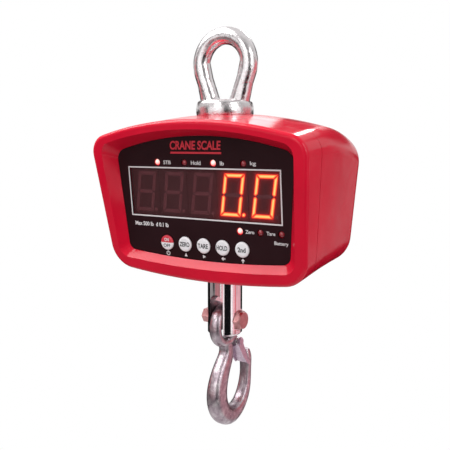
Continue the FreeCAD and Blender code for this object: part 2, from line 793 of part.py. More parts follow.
# ---------------------------------------------------------------- clevis rod, pin and nut
def clevis_rod():
    """A turned rod with a threaded neck above and a round-topped slot through it below."""
    bar = cylinder("D.rod_radius", "D.rod_end - D.rod_top - D.rod_chamfer",
                   (0, 0, "-D.rod_end + D.rod_chamfer"))
    edge = cone("D.rod_radius - D.rod_chamfer", "D.rod_radius", "D.rod_chamfer",
                (0, 0, "-D.rod_end"))
    neck = cylinder("D.shank_radius", f"D.rod_neck + {MORE}", (0, 0, f"-D.rod_top - {MORE}"))
    root = block("D.slot_width", 2 * THROUGH, f"D.rod_end - D.slot_top - D.slot_width / 2 + {MORE}",
                 ("-D.slot_width / 2", -THROUGH, f"-D.rod_end - {MORE}"))
    arch = cylinder("D.slot_width / 2", 2 * THROUGH,
                    (0, -THROUGH, "-D.slot_top - D.slot_width / 2"), "Y")
    cross = cylinder("D.pin_hole", 2 * THROUGH, (-THROUGH, 0, "-D.pin_drop"), "X")
    lock = lock_bar("D.lock_hole", LOCK_LOW)
    seats = [cylinder("D.pin_seat_radius", 10, ("D.pin_seat", 0, "-D.pin_drop"), "X"),
             cylinder("D.pin_seat_radius", 10, ("-D.pin_seat", 0, "-D.pin_drop"), "-X")]
    piece("clevis_rod", cut(fuse(bar, edge, neck), root, arch, cross, lock, *seats))


clevis_rod()

ROD_SEAL_THICK = 4.0
ROD_SEAL_DROP = 62.0
ROD_RING = cut(cylinder(ROD_HOLE - SEAL_SLIP, ROD_SEAL_THICK,
                        (0, 0, f"-D.window_drop - {ROD_SEAL_DROP}")),
               cylinder("D.rod_radius + 0.1", 2 * THROUGH, (0, 0, "-D.window_drop - 80")))
piece("rod_seal", ROD_RING)


def hook_fasteners():
    """The shoulder bolt that carries the hook, and the nut on its thinner thread."""
    pin = "-D.pin_drop"
    shank = cylinder("D.pin_radius", "2 * D.pin_seat - 0.2", ("-D.pin_seat + 0.4", 0, pin), "X")
    thread = cylinder("D.thread_radius", "D.pin_tail", ("-D.pin_tail", 0, pin), "X")
    under_head = ("D.pin_seat + D.thread_play", 0, pin)
    head = prism("D.hex_flats", "D.head_height", under_head, "X")
    trim = cone("D.hex_flats / 2 + 2.4", "D.hex_flats / 2 - 0.3", "D.head_height", under_head, "X")
    top = doc.addObject("Part::Common", "common")
    top.Base = head
    top.Tool = trim
    piece("hook_bolt", fuse(shank, thread, top))
    nut = prism("D.nut_flats", "D.nut_height", ("-D.pin_seat - D.thread_play", 0, pin), "-X")
    bore = cylinder("D.thread_radius + D.thread_play", 2 * THROUGH, (-THROUGH, 0, pin), "X")
    piece("hook_nut", cut(nut, bore))


hook_fasteners()


# ---------------------------------------------------------------- hook
# Stations down the hook's middle: Y, Z below the pin, half width in the hook's plane and
# half thickness across it. The last two close the rounded tip.
HOOK_STATIONS = [
    (0.4, -19.0, 5.2, 4.6),
    (1.6, -24.0, 5.2, 4.9),
    (1.2, -30.0, 5.7, 5.3),
    (-2.8, -36.5, 6.4, 5.8),
    (-8.4, -46.0, 7.6, 6.3),
    (-11.6, -58.0, 8.5, 6.7),
    (-7.6, -71.2, 8.4, 6.7),
    (5.8, -79.9, 7.1, 6.3),
    (21.4, -75.4, 5.2, 5.6),
    (29.6, -63.5, 4.4, 5.0),
    (31.8, -48.0, 3.9, 4.5),
    (31.4, -36.0, 3.5, 4.2),
    (31.2, -33.0, 2.4, 3.0),
]
SQUARENESS = 2.6
RING_POINTS = 16
LUG_HALF = 2.0
LUG_REACH = 10.0
PIVOT_ROUND = 3.6
PIVOT_PLAY = 0.05


def hook_ring(index):
    """One rounded-rectangle section, square to the middle line."""
    y, z, half_width, half_thick = HOOK_STATIONS[index]
    before = HOOK_STATIONS[max(index - 1, 0)]
    after = HOOK_STATIONS[min(index + 1, len(HOOK_STATIONS) - 1)]
    along = Vector(0, after[0] - before[0], after[1] - before[1]).normalize()
    across = X_AXIS.cross(along)
    middle = Vector(0, y, z - size("pin_drop"))
    points = []
    for step in range(RING_POINTS):
        turn = 2 * math.pi * step / RING_POINTS
        cosine = math.cos(turn)
        sine = math.sin(turn)
        power = 2 / SQUARENESS
        wide = math.copysign(abs(cosine) ** power, cosine) * half_width
        thick = math.copysign(abs(sine) ** power, sine) * half_thick
        points.append(middle + across * wide + X_AXIS * thick)
    curve = Part.BSplineCurve()
    curve.interpolate(points, PeriodicFlag=True)
    return Part.Wire([curve.toShape()])


def hook():
    """A forged eye hook: an oval-section ring, a neck that swells into the bowl, and a lug."""
    arm = Part.makeLoft([hook_ring(index) for index in range(len(HOOK_STATIONS))], True)
    pin = -size("pin_drop")
    eye_z = pin - size("hook_sag")
    outer = size("hook_eye_outer")
    inner = size("hook_eye_inner")
    half = size("hook_eye_half")
    middle = (outer + inner) / 2
    centre = Vector(0, 0, eye_z + middle)
    oval = Part.Ellipse(centre + X_AXIS * half, centre + Z_AXIS * (outer - inner) / 2, centre)
    ring = Part.Face(Part.Wire([oval.toShape()])).revolve(Vector(0, 0, eye_z), X_AXIS, 360)
    pivot = Vector(-LUG_HALF, size("latch_y"), -size("latch_drop"))
    boss = Part.makeCylinder(PIVOT_ROUND, 2 * LUG_HALF, pivot, X_AXIS)
    arm_plate = Part.makeBox(2 * LUG_HALF, LUG_REACH, 2 * PIVOT_ROUND,
                             pivot + Vector(0, -LUG_REACH, -PIVOT_ROUND))
    drill = Part.makeCylinder(size("latch_pin_radius") + PIVOT_PLAY, THROUGH,
                              pivot - X_AXIS * THROUGH / 2, X_AXIS)
    clear = Part.makeCylinder(inner, 2 * THROUGH, Vector(-THROUGH, 0, eye_z), X_AXIS)
    return arm.multiFuse([ring, boss, arm_plate]).cut(drill).cut(clear)


piece("hook", solid(hook()))


# ---------------------------------------------------------------- safety latch
LATCH_LENGTH = 24.8
LATCH_LEAN = 28.0
WEB_START = 5.0
LATCH_PLACE = Placement(Vector(0, size("latch_y"), -size("latch_drop")),
                        Rotation(X_AXIS, LATCH_LEAN))


def latch():
    """A stamped channel: two cheeks on the pivot and a web that narrows to the free end."""
    sheet_thick = size("latch_sheet")
    half = size("latch_half")
    web_y = size("latch_web")
    cheeks = []
    for side in (-half, half - sheet_thick):
        round_end = Part.makeCylinder(PIVOT_ROUND, sheet_thick, Vector(side, 0, 0), X_AXIS)
        outline = [Vector(side, -PIVOT_ROUND, -1.0), Vector(side, web_y, 0.0),
                   Vector(side, web_y, -LATCH_LENGTH),
                   Vector(side, web_y - 2 * sheet_thick, -LATCH_LENGTH),
                   Vector(side, -2.4, -14.0), Vector(side, -PIVOT_ROUND, -1.0)]
        cheek = Part.Face(Part.makePolygon(outline)).extrude(X_AXIS * sheet_thick)
        cheeks.append(round_end.fuse(cheek))
    web = Part.makeBox(2 * half, sheet_thick, LATCH_LENGTH - WEB_START,
                       Vector(-half, web_y - sheet_thick, -LATCH_LENGTH))
    shape = cheeks[0].multiFuse([cheeks[1], web])
    drill = Part.makeCylinder(size("latch_pin_radius") + PIVOT_PLAY, 2 * THROUGH,
                              Vector(-THROUGH, 0, 0), X_AXIS)
    return shape.cut(drill)


piece("latch", solid(latch()), LATCH_PLACE)

LATCH_RIVET = fuse(
    cylinder("D.latch_pin_radius", "2 * D.latch_half + 1", ("-D.latch_half - 0.5", "D.latch_y",
             "-D.latch_drop"), "X"),
    cylinder("D.latch_pin_radius + 1", 1.0,
             (f"D.latch_half + {PIVOT_PLAY}", "D.latch_y", "-D.latch_drop"), "X"),
    cylinder("D.latch_pin_radius + 1", 1.0,
             (f"-D.latch_half - {PIVOT_PLAY}", "D.latch_y", "-D.latch_drop"), "-X"),
)
piece("latch_pin", LATCH_RIVET)


def latch_spring():
    """A torsion spring: two short coils beside the lug, with a leg under the latch's web."""
    wire = 0.4
    coil = 2.5
    pitch = 1.0
    length = 2.0
    coils = []
    for side in (-2.65 - length, 2.65):
        helix = Part.makeHelix(pitch, length, coil)
        start = Vector(coil, 0, 0)
        ring = Part.Wire([Part.Circle(start, Y_AXIS, wire).toShape()])
        turns = Part.Wire(helix.Edges).makePipeShell([ring], True, True)
        turns.Placement = Placement(Vector(side, 0, 0), Rotation(Y_AXIS, 90))
        coils.append(turns)
    return coils


piece("latch_spring", [solid(turns) for turns in latch_spring()], LATCH_PLACE)


# ---------------------------------------------------------------- inner frame and electronics
PLATE_SLIP = 0.1


def mounting_bracket():
    """A steel plate that hangs the housing on the load cell's fixed end."""
    front = f"D.cell_depth / 2 + {PLATE_SLIP}"
    tap_height = "-D.window_drop + D.tap_rise"
    taps = [f"{sign} * D.tap_x" for sign in (-1, 1)]
    base = block("D.bracket_width", "D.bracket_thick", "D.bracket_height",
                 ("-D.bracket_width / 2", front, "-D.window_drop + D.bracket_rise"))
    holes = [cylinder("D.small_screw + D.small_play", THROUGH, (x, 0, f"-D.window_drop + {z}"), "Y")
             for x, z in BRACKET_POSTS]
    holes += [cylinder("D.tap_radius + D.small_play", THROUGH, (x, 0, tap_height), "Y")
              for x in taps]
    piece("mounting_bracket", cut(base, *holes))
    screws = []
    for x, z in BRACKET_POSTS:
        height = f"-D.window_drop + {z}"
        head = cylinder("D.small_head", "D.small_head_height", (x, front, height), "-Y")
        stem = cylinder("D.small_screw - D.thread_play", "D.bracket_thick + 7",
                        (x, "D.cell_depth / 2", height), "Y")
        screws.append(fuse(head, stem))
    piece("bracket_screws", screws)
    bolts = []
    for x in taps:
        head = cylinder("2 * D.tap_radius", 2.4, (x, f"{front} + D.bracket_thick", tap_height), "Y")
        stem = cylinder("D.tap_radius - D.thread_play", "D.bracket_thick + 6",
                        (x, "D.cell_depth / 2 - 5.5", tap_height), "Y")
        bolts.append(fuse(head, stem))
    piece("load_cell_screws", bolts)


mounting_bracket()


BOARD_SLIP = 0.02
# Processor, connector and relay: left edge, lower edge above the window's centre, width, height
# and how far each stands off the board.
CHIPS = [(-24.0, 24.0, 14.0, 14.0, 2.2), (8.0, 24.0, 9.0, 6.0, 3.6), (20.0, 34.0, 12.0, 5.0, 5.0)]
CAPACITOR = (2.0, 36.0, 4.0, 9.0)


def main_board():
    front = f"{BOARD_BACK} - D.board_thick - {BOARD_SLIP}"
    base = block("D.rear_board_width", "D.board_thick", "D.rear_board_height",
                 ("-D.rear_board_width / 2", front, "-D.window_drop + D.rear_board_rise"))
    parts = [block(wide, tall + BOARD_SLIP, high, (x, f"{front} - {tall}", f"-D.window_drop + {z}"))
             for x, z, wide, high, tall in CHIPS]
    x, z, radius, tall = CAPACITOR
    parts.append(cylinder(radius, tall, (x, f"{front} + {BOARD_SLIP}", f"-D.window_drop + {z}"), "-Y"))
    holes = [cylinder("D.small_screw + D.small_play", THROUGH, (x, THROUGH / 2,
                      f"-D.window_drop + {z}"), "Y") for x, z in BOARD_POSTS]
    piece("main_board", cut(fuse(base, *parts), *holes))
    screws = []
    for x, z in BOARD_POSTS:
        height = f"-D.window_drop + {z}"
        head = cylinder("D.small_head", "D.small_head_height", (x, front, height), "-Y")
        stem = cylinder("D.small_screw - D.thread_play", "D.board_thick + 6", (x, front, height),
                        "Y")
        screws.append(fuse(head, stem))
    piece("main_board_screws", screws)


main_board()


# ---------------------------------------------------------------- battery and charging jack
def battery():
    """Two round cells side by side in a shrink sleeve, in a tray behind the rear door."""
    pack = "-D.window_drop - D.pack_drop"
    bars = [cylinder("D.cell_radius", "D.pack_length",
                     ("-D.pack_length / 2", "D.pack_back", f"{pack} + {sign} * D.cell_radius"), "X")
            for sign in (-1, 1)]
    middle = block("D.pack_length", "2 * D.cell_radius", "2 * D.cell_radius",
                   ("-D.pack_length / 2", "D.pack_back - D.cell_radius", f"{pack} - D.cell_radius"))
    piece("battery", fuse(middle, *bars))
    tray = block("D.tray_width", "D.tray_depth", "D.tray_height",
                 ("-D.tray_width / 2", "D.tray_front", f"{pack} - D.tray_height / 2"))
    room = block("D.tray_width - 2 * D.tray_wall", THROUGH, "D.tray_height - 2 * D.tray_wall",
                 ("-D.tray_width / 2 + D.tray_wall", "D.tray_front + D.tray_wall",
                  f"{pack} - D.tray_height / 2 + D.tray_wall"))
    piece("battery_box", cut(tray, room))
    back = "D.back_depth - D.cover_thick"
    door = block("D.cover_width", "D.cover_thick", "D.cover_height",
                 ("-D.cover_width / 2", back, f"{pack} - D.cover_height / 2"))
    holes = [cylinder("D.small_screw + D.small_play", THROUGH, (x, THROUGH, f"{pack} + {z}"), "Y")
             for x, z in COVER_SCREWS]
    piece("battery_cover", cut(door, *holes))
    screws = []
    for x, z in COVER_SCREWS:
        height = f"{pack} + {z}"
        head = cone("D.small_head", "D.small_head - 0.5", 1.0,
                    (x, f"D.back_depth + {BOARD_SLIP}", height), "Y")
        stem = cylinder("D.small_screw - D.thread_play", 6.5, (x, "D.back_depth - 6.4", height), "Y")
        screws.append(fuse(head, stem))
    piece("battery_cover_screws", screws)


battery()


def charging_jack():
    """The power socket in the back, its rubber plug and the button that holds the plug's strap."""
    height = "-D.window_drop - D.jack_drop"
    strap_width = 5.0
    strap_x = f"D.jack_x - {strap_width / 2}"

    def round_part(radius, length, depth):
        """A round piece of the jack, that starts at a depth below the back face."""
        return cylinder(radius, length, ("D.jack_x", f"D.back_depth - {depth}", height), "Y")

    barrel = round_part("D.jack_radius", "D.jack_length", "D.jack_length")
    nut = round_part("D.jack_radius + 1.5", 2.0, 5.2)
    bore = round_part("D.jack_bore", "D.jack_length", f"(D.jack_length - {MORE})")
    tip = round_part(1.0, 6.5, 9.0)
    piece("charging_jack", fuse(cut(fuse(barrel, nut), bore), tip))
    cap = round_part("D.jack_radius + 1.6", 1.6, "(-D.gap)")
    strap = block(strap_width, 1.0, "D.plug_hinge - 0.6",
                  (strap_x, "D.back_depth + D.gap", height))
    plug = round_part("D.jack_bore - 0.5", 2.3, 1.9)
    socket = round_part(1.4, 5.0, 4.0)
    piece("jack_plug", cut(fuse(cap, strap, plug), socket))
    hinge = f"{height} + D.plug_hinge"
    face = f"D.back_depth + {BOARD_SLIP}"
    tab = block(strap_width, 1.3, 4.5, (strap_x, face, f"{hinge} + 0.85"))
    button = cylinder(3.2, 1.3, ("D.jack_x", face, f"{hinge} + 4.3"), "Y")
    piece("jack_plug_anchor", fuse(tab, button))


charging_jack()


# ---------------------------------------------------------------- checks and export
doc.recompute()
for obj in doc.Objects:
    if "Invalid" in obj.State or "Error" in obj.State:
        raise SystemExit(f"{obj.Name} ({obj.TypeId}) failed: {obj.State}")
for obj in finished:
    shape = obj.Shape
    if shape.isNull() or not shape.isValid() or not shape.Solids:
        raise SystemExit(f"{obj.Label} is not a valid solid")
for obj in finished:
    obj.Shape.exportStep(f"parts/{obj.Label}.step")
print(len(finished), "sub-parts written")
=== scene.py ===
"""Looks of a hanging crane scale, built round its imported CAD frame.

Everything is in metres in the CAD's own frame: the origin is the bearing point at the inner top of
the lifting eye, +Z is up, -Y is out of the display and +X is to the reader's right.
"""

import json
import math

import bpy
import numpy as np
from mathutils import Matrix, Vector


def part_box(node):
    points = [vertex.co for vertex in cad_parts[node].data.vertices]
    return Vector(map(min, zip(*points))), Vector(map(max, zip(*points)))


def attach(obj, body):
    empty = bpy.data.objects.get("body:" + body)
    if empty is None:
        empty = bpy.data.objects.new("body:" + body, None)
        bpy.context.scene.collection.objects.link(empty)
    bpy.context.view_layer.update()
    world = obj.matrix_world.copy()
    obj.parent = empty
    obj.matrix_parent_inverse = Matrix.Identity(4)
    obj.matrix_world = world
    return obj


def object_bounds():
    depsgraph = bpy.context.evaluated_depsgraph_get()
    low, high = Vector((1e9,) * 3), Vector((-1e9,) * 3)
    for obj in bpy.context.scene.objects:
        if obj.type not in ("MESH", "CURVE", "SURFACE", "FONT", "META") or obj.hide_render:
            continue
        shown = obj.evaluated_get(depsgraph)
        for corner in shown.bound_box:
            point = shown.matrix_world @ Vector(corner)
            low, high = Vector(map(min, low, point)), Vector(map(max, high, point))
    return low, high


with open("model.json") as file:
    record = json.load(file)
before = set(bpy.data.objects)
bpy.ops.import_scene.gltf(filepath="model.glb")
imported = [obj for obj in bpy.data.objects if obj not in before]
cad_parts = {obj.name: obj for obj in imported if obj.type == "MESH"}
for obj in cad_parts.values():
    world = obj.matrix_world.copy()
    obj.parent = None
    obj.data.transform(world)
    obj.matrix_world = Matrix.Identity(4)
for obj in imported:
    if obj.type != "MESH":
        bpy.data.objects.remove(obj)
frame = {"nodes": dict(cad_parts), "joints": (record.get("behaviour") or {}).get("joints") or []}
CAD_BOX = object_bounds()
MM = 0.001
HOUSING = "housing"


# ---------------------------------------------------------------- places read from the frame
def middle(node):
    low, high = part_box(node)
    return (low + high) / 2


# The keys travel square to the display panel, so their joint gives the panel's tilt.
INWARD = Vector(next(j["axis"] for j in frame["joints"] if j["name"] == "power_key_press"))
INWARD.normalize()
ACROSS = Vector((1, 0, 0))
UP = ACROSS.cross(INWARD)
PANE_MIDDLE = 1.2 * MM
PANEL = Matrix((ACROSS, INWARD, UP)).transposed().to_4x4()
PANEL.translation = middle("display_window") - INWARD * PANE_MIDDLE
TO_PANEL = PANEL.inverted()


def spot(node):
    """A node's centre on the panel: x to the right and z up from the window's centre."""
    place = TO_PANEL @ middle(node)
    return place.x, place.z


# ---------------------------------------------------------------- materials
class Look:
    """A Principled material whose colour, roughness and relief come from noise."""

    def __init__(self, name, colour, metallic=0.0, roughness=0.4, **sockets):
        self.material = bpy.data.materials.new(name)
        self.material.use_nodes = True
        self.tree = self.material.node_tree
        self.shader = self.tree.nodes["Principled BSDF"]
        self.shader.inputs["Base Color"].default_value = (*colour, 1)
        self.shader.inputs["Metallic"].default_value = metallic
        self.shader.inputs["Roughness"].default_value = roughness
        for socket, value in sockets.items():
            self.shader.inputs[socket.replace("_", " ")].default_value = value
        self.relief = None
        self.place = self.node("ShaderNodeTexCoord").outputs["Object"]

    def node(self, kind, **settings):
        made = self.tree.nodes.new(kind)
        for name, value in settings.items():
            setattr(made, name, value)
        return made

    def link(self, source, target):
        self.tree.links.new(source, target)

    def stretched(self, stretch):
        mapping = self.node("ShaderNodeMapping")
        mapping.inputs["Scale"].default_value = stretch
        self.link(self.place, mapping.inputs["Vector"])
        return mapping.outputs["Vector"]

    def noise(self, grain_mm, detail=4.0, rough=0.5, distortion=0.0, stretch=None):
        """Noise whose features are about grain_mm across."""
        made = self.node("ShaderNodeTexNoise")
        made.inputs["Scale"].default_value = 1000.0 / grain_mm
        made.inputs["Detail"].default_value = detail
        made.inputs["Roughness"].default_value = rough
        made.inputs["Distortion"].default_value = distortion
        self.link(self.stretched(stretch) if stretch else self.place, made.inputs["Vector"])
        return made.outputs["Fac"]

    def cells(self, grain_mm, feature="F1"):
        made = self.node("ShaderNodeTexVoronoi", feature=feature)
        made.inputs["Scale"].default_value = 1000.0 / grain_mm
        self.link(self.place, made.inputs["Vector"])
        return made.outputs["Distance"]

    def rescale(self, source, low, high, new_low=0.0, new_high=1.0):
        made = self.node("ShaderNodeMapRange")
        for name, value in zip(("From Min", "From Max", "To Min", "To Max"),
                               (low, high, new_low, new_high)):
            made.inputs[name].default_value = value
        self.link(source, made.inputs["Value"])
        return made.outputs["Result"]

    def maths(self, operation, first, second):
        made = self.node("ShaderNodeMath", operation=operation)
        for socket, value in zip(made.inputs, (first, second)):
            if isinstance(value, (int, float)):
                socket.default_value = value
            else:
                self.link(value, socket)
        return made.outputs["Value"]

    def ramp(self, source, stops):
        made = self.node("ShaderNodeValToRGB")
        elements = made.color_ramp.elements
        while len(elements) < len(stops):
            elements.new(0.5)
        for element, (position, colour) in zip(elements, stops):
            element.position = position
            element.color = (*colour, 1)
        self.link(source, made.inputs["Fac"])
        return made.outputs["Color"]

    def tint(self, source, stops):
        """Colour from a ramp over a source."""
        self.link(self.ramp(source, stops), self.shader.inputs["Base Color"])
        return self

    def worn(self, source, low, high):
        """Roughness between two values over a source."""
        self.link(self.rescale(source, 0.3, 0.7, low, high), self.shader.inputs["Roughness"])
        return self

    def raised(self, source, height_mm, strength=1.0):
        """Relief of the given height; several calls add up."""
        made = self.node("ShaderNodeBump")
        made.inputs["Strength"].default_value = strength
        made.inputs["Distance"].default_value = height_mm * MM
        self.link(source, made.inputs["Height"])
        if self.relief:
            self.link(self.relief, made.inputs["Normal"])
        self.relief = made.outputs["Normal"]
        self.link(self.relief, self.shader.inputs["Normal"])
        return self

    def lit(self, colour_source, strength):
        self.link(colour_source, self.shader.inputs["Emission Color"])
        self.shader.inputs["Emission Strength"].default_value = strength
        return self


def shades(colour, spread):
    """Two stops a little darker and lighter than a colour."""
    dark = tuple(c * (1 - spread) for c in colour)
    light = tuple(min(1.0, c * (1 + spread)) for c in colour)
    return [(0.3, dark), (0.7, light)]


def enamel(name, colour):
    """Glossy enamel on a casting: orange peel, soft waviness and faint smears."""
    made = Look(name, colour, roughness=0.14, IOR=1.33)
    made.tint(made.noise(38, detail=3), shades(colour, 0.07))
    made.worn(made.noise(22, detail=6, distortion=0.6), 0.11, 0.24)
    made.raised(made.noise(1.6, detail=2), 0.01)
    made.raised(made.noise(24, detail=2), 0.2)
    return made.material


def overlay_print():
    """The printed overlay's satin face."""
    colour = (0.022, 0.0075, 0.0095)
    made = Look("panel_overlay", colour, roughness=0.36, Specular_IOR_Level=0.08)
    made.tint(made.noise(60, detail=3), shades(colour, 0.16))
    made.worn(made.noise(14, detail=5), 0.3, 0.46)
    made.raised(made.noise(0.35, detail=2), 0.004)
    return made.material


def smoked_pane():
    """The dark red pane over the digits, part see-through, with a little haze."""
    made = Look("smoked_pane", (0.09, 0.03, 0.034), roughness=0.07, Alpha=0.34,
                Specular_IOR_Level=0.3)
    made.worn(made.noise(30, detail=4), 0.05, 0.12)
    return made.material


def moulded(name, colour, roughness):
    """Moulded plastic or rubber with a fine grain."""
    made = Look(name, colour, roughness=roughness)
    made.tint(made.noise(9, detail=4), shades(colour, 0.08))
    made.worn(made.noise(5, detail=5), roughness * 0.85, min(1.0, roughness * 1.15))
    made.raised(made.noise(0.5, detail=2), 0.012)
    return made.material


def plated(name, colour, low, high, wave_mm):
    """Polished, plated steel: low waviness, clouded polish and fine scratches."""
    made = Look(name, colour, metallic=1.0, roughness=low)
    made.tint(made.noise(7, detail=5, distortion=0.4), shades(colour, 0.07))
    made.worn(made.noise(3.2, detail=6, rough=0.6), low, high)
    made.raised(made.noise(6.5, detail=2), wave_mm)
    made.raised(made.noise(1.3, detail=4, rough=0.6), wave_mm * 0.3)
    made.raised(made.noise(0.5, detail=2, stretch=(6, 6, 0.4)), 0.0035)
    return made.material


def turned(name, colour, low, high):
    """Turned and polished bar: faint tool rings along Z."""
    made = Look(name, colour, metallic=1.0, roughness=low)
    made.tint(made.noise(1.6, detail=5, stretch=(1.6, 1.6, 0.08)), shades(colour, 0.16))
    made.worn(made.noise(1.0, detail=4, stretch=(0.3, 0.3, 3.0)), low, high)
    made.raised(made.noise(0.6, detail=2, stretch=(0.05, 0.05, 2.5)), 0.0025)
    return made.material


def forging(name, dark, light, shine):
    """Zinc-plated forging: mottled plate over a scaled skin, rubbed bright in random patches."""
    made = Look(name, light, metallic=1.0, roughness=0.36)
    made.tint(made.noise(5, detail=8, rough=0.68, distortion=0.5),
              [(0.33, dark), (0.5, light), (0.68, shine)])
    made.worn(made.noise(2.4, detail=6, rough=0.6), 0.26, 0.44)
    made.raised(made.noise(1.1, detail=5, rough=0.6), 0.075)
    made.raised(made.noise(8, detail=2), 0.16)
    return made.material


def brushed(name, colour, low=0.26, high=0.42):
    """Zinc-plated sheet or fasteners."""
    made = Look(name, colour, metallic=1.0, roughness=low)
    made.tint(made.noise(2.6, detail=5, distortion=0.4), shades(colour, 0.13))
    made.worn(made.noise(1.2, detail=5), low, high)
    made.raised(made.noise(0.45, detail=4), 0.012)
    return made.material


def key_face(name, upper=None):
    """An off-white printed key; the power key's upper half is red."""
    white = (0.86, 0.84, 0.86)
    made = Look(name, white, roughness=0.42)
    if upper:
        height = made.node("ShaderNodeVectorMath", operation="DOT_PRODUCT")
        made.link(made.place, height.inputs[0])
        height.inputs[1].default_value = UP
        line = middle("key_power").dot(UP)
        side = made.maths("GREATER_THAN", height.outputs["Value"], line + 0.2 * MM)
        made.tint(side, [(0.0, white), (1.0, upper)])
    else:
        made.tint(made.noise(4, detail=4), shades(white, 0.035))
    made.worn(made.noise(3, detail=5), 0.34, 0.5)
    made.raised(made.noise(0.4, detail=2), 0.008)
    return made.material


def lens(name, low, high, strength):
    """A round lamp: its own glow, with a painted highlight that makes colour and glow whiter towards
    the top of the lens.
    """
    made = Look(name, low, roughness=0.16, Coat_Weight=0.5)
    facing = made.node("ShaderNodeNewGeometry").outputs["Normal"]
    up = made.node("ShaderNodeVectorMath", operation="DOT_PRODUCT")
    made.link(facing, up.inputs[0])
    # Painted highlight: lighter colour and whiter glow where the lens faces up and out.
    up.inputs[1].default_value = UP - INWARD * 0.9
    painted_highlight = made.rescale(up.outputs["Value"], -0.2, 1.1)
    made.tint(painted_highlight, [(0.0, low), (1.0, high)])
    made.lit(made.ramp(painted_highlight, [(0.0, low), (1.0, high)]), strength)
    made.raised(made.noise(0.6, detail=2), 0.006)
    return made.material


def glowing(name, stops, strength):
    """A surface whose light follows the mesh's own glow attribute."""
    made = Look(name, stops[0][1], roughness=0.4)
    glow = made.node("ShaderNodeAttribute", attribute_name="glow").outputs["Fac"]
    made.tint(made.noise(1.5, detail=3), shades(stops[0][1], 0.12))
    made.lit(made.ramp(glow, stops), strength)
    made.raised(made.noise(0.5, detail=2), 0.006)
    return made.material


def printed(name, colour):
    """Screen print: slightly uneven ink."""
    made = Look(name, colour, roughness=0.5)
    made.tint(made.noise(0.7, detail=3), shades(colour, 0.05))
    made.worn(made.noise(0.9, detail=3), 0.45, 0.55)
    return made.material


def circuit():
    """Solder mask with a hint of tracks."""
    made = Look("solder_mask", (0.02, 0.11, 0.05), roughness=0.3)
    tracks = made.cells(3.2, feature="DISTANCE_TO_EDGE")
    made.tint(made.rescale(tracks, 0.0, 0.16), [(0.4, (0.05, 0.2, 0.09)), (0.6, (0.02, 0.11, 0.05))])
    made.raised(tracks, 0.03)
    return made.material


RED = (0.66, 0.006, 0.03)
MATERIALS = {
    "enamel": enamel("red_enamel", RED),
    "cover": moulded("cover_red", (0.52, 0.008, 0.028), roughness=0.36),
    "seal": moulded("seal_rubber", (0.26, 0.006, 0.014), roughness=0.6),
    "rubber": moulded("black_rubber", (0.018, 0.017, 0.018), roughness=0.7),
    "plastic": moulded("black_plastic", (0.02, 0.02, 0.022), roughness=0.45),
    "overlay": overlay_print(),
    "pane": smoked_pane(),
    "circuit": circuit(),
    "digit": moulded("digit_body", (0.02, 0.006, 0.007), roughness=0.5),
    "lamp_lit": lens("lamp_lit", (0.75, 0.02, 0.03), (1.0, 0.62, 0.56), 1.05),
    # The unlit lamps glow faintly and are lighter on top: painted light and a painted highlight, as
    # these lamps are off.
    "lamp_dark": lens("lamp_dark", (0.13, 0.008, 0.014), (0.26, 0.022, 0.03), 0.2),
    "key": key_face("key_white"),
    "key_power": key_face("key_red_white", upper=(0.62, 0.03, 0.055)),
    "eye": plated("plated_eye", (0.76, 0.72, 0.73), 0.14, 0.32, wave_mm=0.3),
    "rod": turned("polished_rod", (0.8, 0.7, 0.72), 0.05, 0.12),
    # The red cast of this steel colour is a painted reflection of the red housing.
    "bolt": brushed("satin_bolt", (0.55, 0.27, 0.27), 0.28, 0.42),
    "screw": brushed("zinc_screw", (0.62, 0.62, 0.63)),
    "hook": forging("zinc_forging", (0.3, 0.23, 0.27), (0.46, 0.38, 0.42), (0.68, 0.62, 0.64)),
    "sheet": brushed("zinc_sheet", (0.6, 0.47, 0.56), 0.26, 0.42),
    "spring": brushed("spring_wire", (0.74, 0.72, 0.72), 0.14, 0.24),
    "alloy": brushed("machined_alloy", (0.7, 0.7, 0.72), 0.25, 0.35),
    "sleeve": moulded("battery_sleeve", (0.03, 0.08, 0.3), roughness=0.3),
    "white_ink": printed("white_ink", (0.74, 0.71, 0.72)),
    "dark_ink": printed("dark_ink", (0.03, 0.028, 0.032)),
    "red_ink": printed("red_ink", (0.62, 0.02, 0.04)),
    "bright_segment": glowing("bright_segment", [(0.0, (1.0, 0.02, 0.012)), (0.45, (1.0, 0.15, 0.035)),
                                                 (1.0, (1.0, 0.6, 0.17))], 2.6),
    # The unlit segments glow faintly: painted light on segments that are off.
    "dark_segment": glowing("dark_segment", [(0.0, (0.1, 0.028, 0.034)),
                                             (1.0, (0.13, 0.038, 0.046))], 0.6),
    "digit_face": glowing("digit_face", [(0.0, (0.012, 0.0025, 0.003)), (0.5, (0.2, 0.002, 0.004)),
                                         (1.0, (0.85, 0.008, 0.012))], 1.6),
}

NODE_LOOKS = {
    "enamel": ["front_bezel", "rear_shell"],
    "cover": ["battery_cover"],
    "seal": ["shell_gasket"],
    "rubber": ["eye_seal", "rod_seal", "jack_plug", "jack_plug_anchor"],
    "plastic": ["key_switches", "battery_box", "charging_jack"],
    "overlay": ["face_plate"],
    "pane": ["display_window"],
    "circuit": ["display_board", "main_board"],
    "digit": [f"led_digit_{number}" for number in range(1, 6)],
    "lamp_lit": ["led_stable", "led_pound", "led_zero"],
    "lamp_dark": ["led_hold", "led_kilogram", "led_tare", "led_battery"],
    "key": ["key_zero", "key_tare", "key_hold", "key_second"],
    "key_power": ["key_power"],
    "eye": ["lifting_eye"],
    "rod": ["clevis_rod"],
    "bolt": ["hook_bolt", "hook_nut"],
    "screw": ["display_board_screws", "bracket_screws", "load_cell_screws", "main_board_screws",
              "battery_cover_screws", "housing_screws", "shank_lock_pins"],
    "hook": ["hook"],
    "sheet": ["latch", "latch_pin", "mounting_bracket"],
    "spring": ["latch_spring"],
    "alloy": ["load_cell"],
    "sleeve": ["battery"],
}
